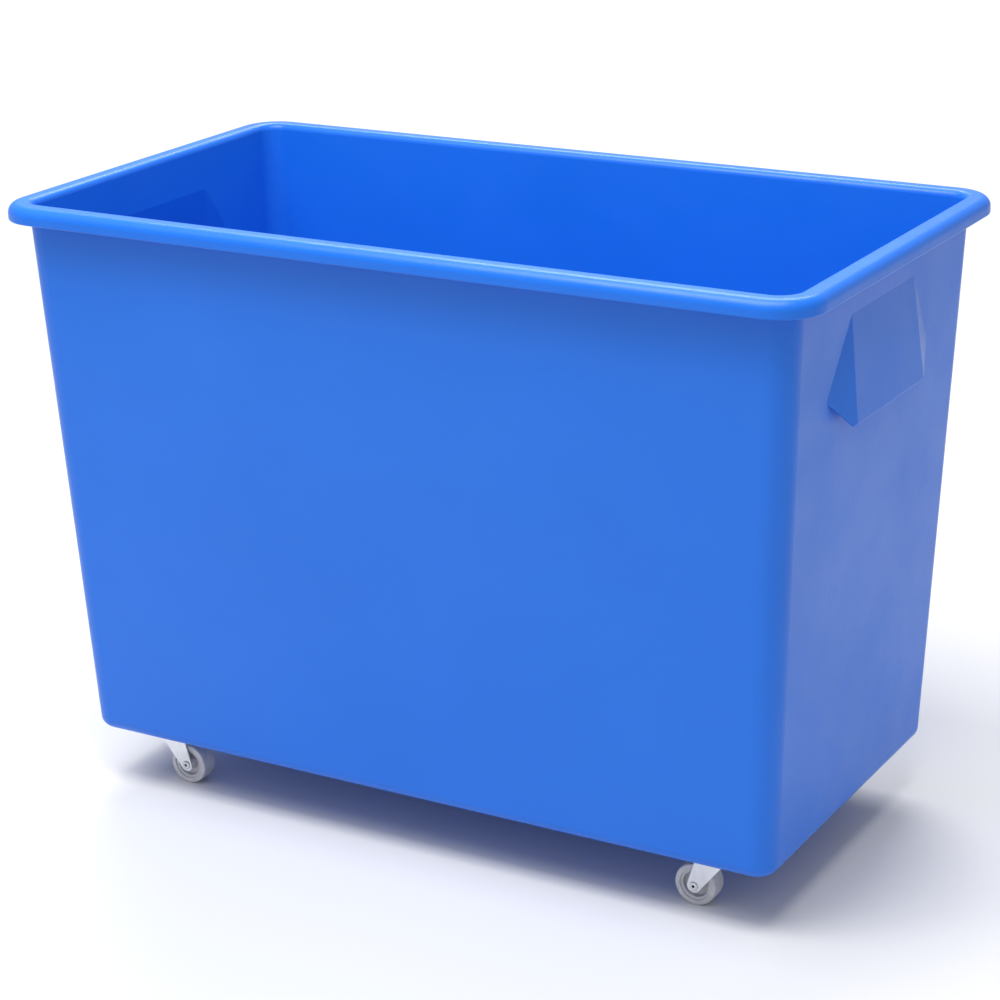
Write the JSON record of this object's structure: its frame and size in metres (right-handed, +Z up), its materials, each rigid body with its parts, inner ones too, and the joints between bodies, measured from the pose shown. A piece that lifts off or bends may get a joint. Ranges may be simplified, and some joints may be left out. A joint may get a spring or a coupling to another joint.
{
  "type": "container truck",
  "caption": "Open-topped tapered plastic container truck with a turned-down rim and moulded end hand holds, rolling on swivel castors bolted under its base.",
  "frame": {"origin": "on the floor under the middle of the tub, at the bottom centre of the whole part", "axes": "+X along the tub's length towards the front hand hold, +Y across its width to the left, +Z up"},
  "size_m": [1.02, 0.557, 0.734],
  "materials": {
    "tub_plastic": "semi-gloss rotomoulded polyethylene",
    "zinc_plate": "bright zinc plated pressed steel",
    "bright_steel": "zinc plated turned steel",
    "polished_steel": "polished bearing steel",
    "hub_plastic": "moulded grey nylon",
    "tyre_rubber": "smooth non-marking grey rubber"
  },
  "bodies": {
    "tub": {"tub_body": "tub_plastic", "front_left_spreader_plate": "zinc_plate", "front_left_mounting_bolts": "bright_steel", "front_left_mounting_nuts": "bright_steel", "front_left_top_plate": "zinc_plate", "front_left_upper_balls": "polished_steel", "front_left_lower_balls": "polished_steel", "front_left_lower_race": "zinc_plate", "front_left_kingpin": "bright_steel", "front_right_spreader_plate": "zinc_plate", "front_right_mounting_bolts": "bright_steel", "front_right_mounting_nuts": "bright_steel", "front_right_top_plate": "zinc_plate", "front_right_upper_balls": "polished_steel", "front_right_lower_balls": "polished_steel", "front_right_lower_race": "zinc_plate", "front_right_kingpin": "bright_steel", "rear_left_spreader_plate": "zinc_plate", "rear_left_mounting_bolts": "bright_steel", "rear_left_mounting_nuts": "bright_steel", "rear_left_top_plate": "zinc_plate", "rear_left_upper_balls": "polished_steel", "rear_left_lower_balls": "polished_steel", "rear_left_lower_race": "zinc_plate", "rear_left_kingpin": "bright_steel", "rear_right_spreader_plate": "zinc_plate", "rear_right_mounting_bolts": "bright_steel", "rear_right_mounting_nuts": "bright_steel", "rear_right_top_plate": "zinc_plate", "rear_right_upper_balls": "polished_steel", "rear_right_lower_balls": "polished_steel", "rear_right_lower_race": "zinc_plate", "rear_right_kingpin": "bright_steel"},
    "front_left_swivel": {"front_left_fork": "zinc_plate", "front_left_axle_sleeve": "bright_steel", "front_left_axle_rivet": "bright_steel"},
    "front_left_wheel": {"front_left_wheel_hub": "hub_plastic", "front_left_wheel_tyre": "tyre_rubber"},
    "front_right_swivel": {"front_right_fork": "zinc_plate", "front_right_axle_sleeve": "bright_steel", "front_right_axle_rivet": "bright_steel"},
    "front_right_wheel": {"front_right_wheel_hub": "hub_plastic", "front_right_wheel_tyre": "tyre_rubber"},
    "rear_left_swivel": {"rear_left_fork": "zinc_plate", "rear_left_axle_sleeve": "bright_steel", "rear_left_axle_rivet": "bright_steel"},
    "rear_left_wheel": {"rear_left_wheel_hub": "hub_plastic", "rear_left_wheel_tyre": "tyre_rubber"},
    "rear_right_swivel": {"rear_right_fork": "zinc_plate", "rear_right_axle_sleeve": "bright_steel", "rear_right_axle_rivet": "bright_steel"},
    "rear_right_wheel": {"rear_right_wheel_hub": "hub_plastic", "rear_right_wheel_tyre": "tyre_rubber"}
  },
  "joints": [
    {"name": "front_left_swivel_turn", "type": "hinge", "parent": "tub", "child": "front_left_swivel", "pos_m": [0.367, 0.172, 0.0622], "axis": [0, 0, 1], "continuous": true},
    {"name": "front_left_wheel_spin", "type": "hinge", "parent": "front_left_swivel", "child": "front_left_wheel", "pos_m": [0.347, 0.172, 0.025], "axis": [0, 1, 0], "continuous": true},
    {"name": "front_right_swivel_turn", "type": "hinge", "parent": "tub", "child": "front_right_swivel", "pos_m": [0.367, -0.172, 0.0622], "axis": [0, 0, 1], "continuous": true},
    {"name": "front_right_wheel_spin", "type": "hinge", "parent": "front_right_swivel", "child": "front_right_wheel", "pos_m": [0.347, -0.172, 0.025], "axis": [0, 1, 0], "continuous": true},
    {"name": "rear_left_swivel_turn", "type": "hinge", "parent": "tub", "child": "rear_left_swivel", "pos_m": [-0.367, 0.172, 0.0622], "axis": [0, 0, 1], "continuous": true},
    {"name": "rear_left_wheel_spin", "type": "hinge", "parent": "rear_left_swivel", "child": "rear_left_wheel", "pos_m": [-0.347, 0.172, 0.025], "axis": [0, 1, 0], "continuous": true},
    {"name": "rear_right_swivel_turn", "type": "hinge", "parent": "tub", "child": "rear_right_swivel", "pos_m": [-0.367, -0.172, 0.0622], "axis": [0, 0, 1], "continuous": true},
    {"name": "rear_right_wheel_spin", "type": "hinge", "parent": "rear_right_swivel", "child": "rear_right_wheel", "pos_m": [-0.347, -0.172, 0.025], "axis": [0, 1, 0], "continuous": true}
  ]
}
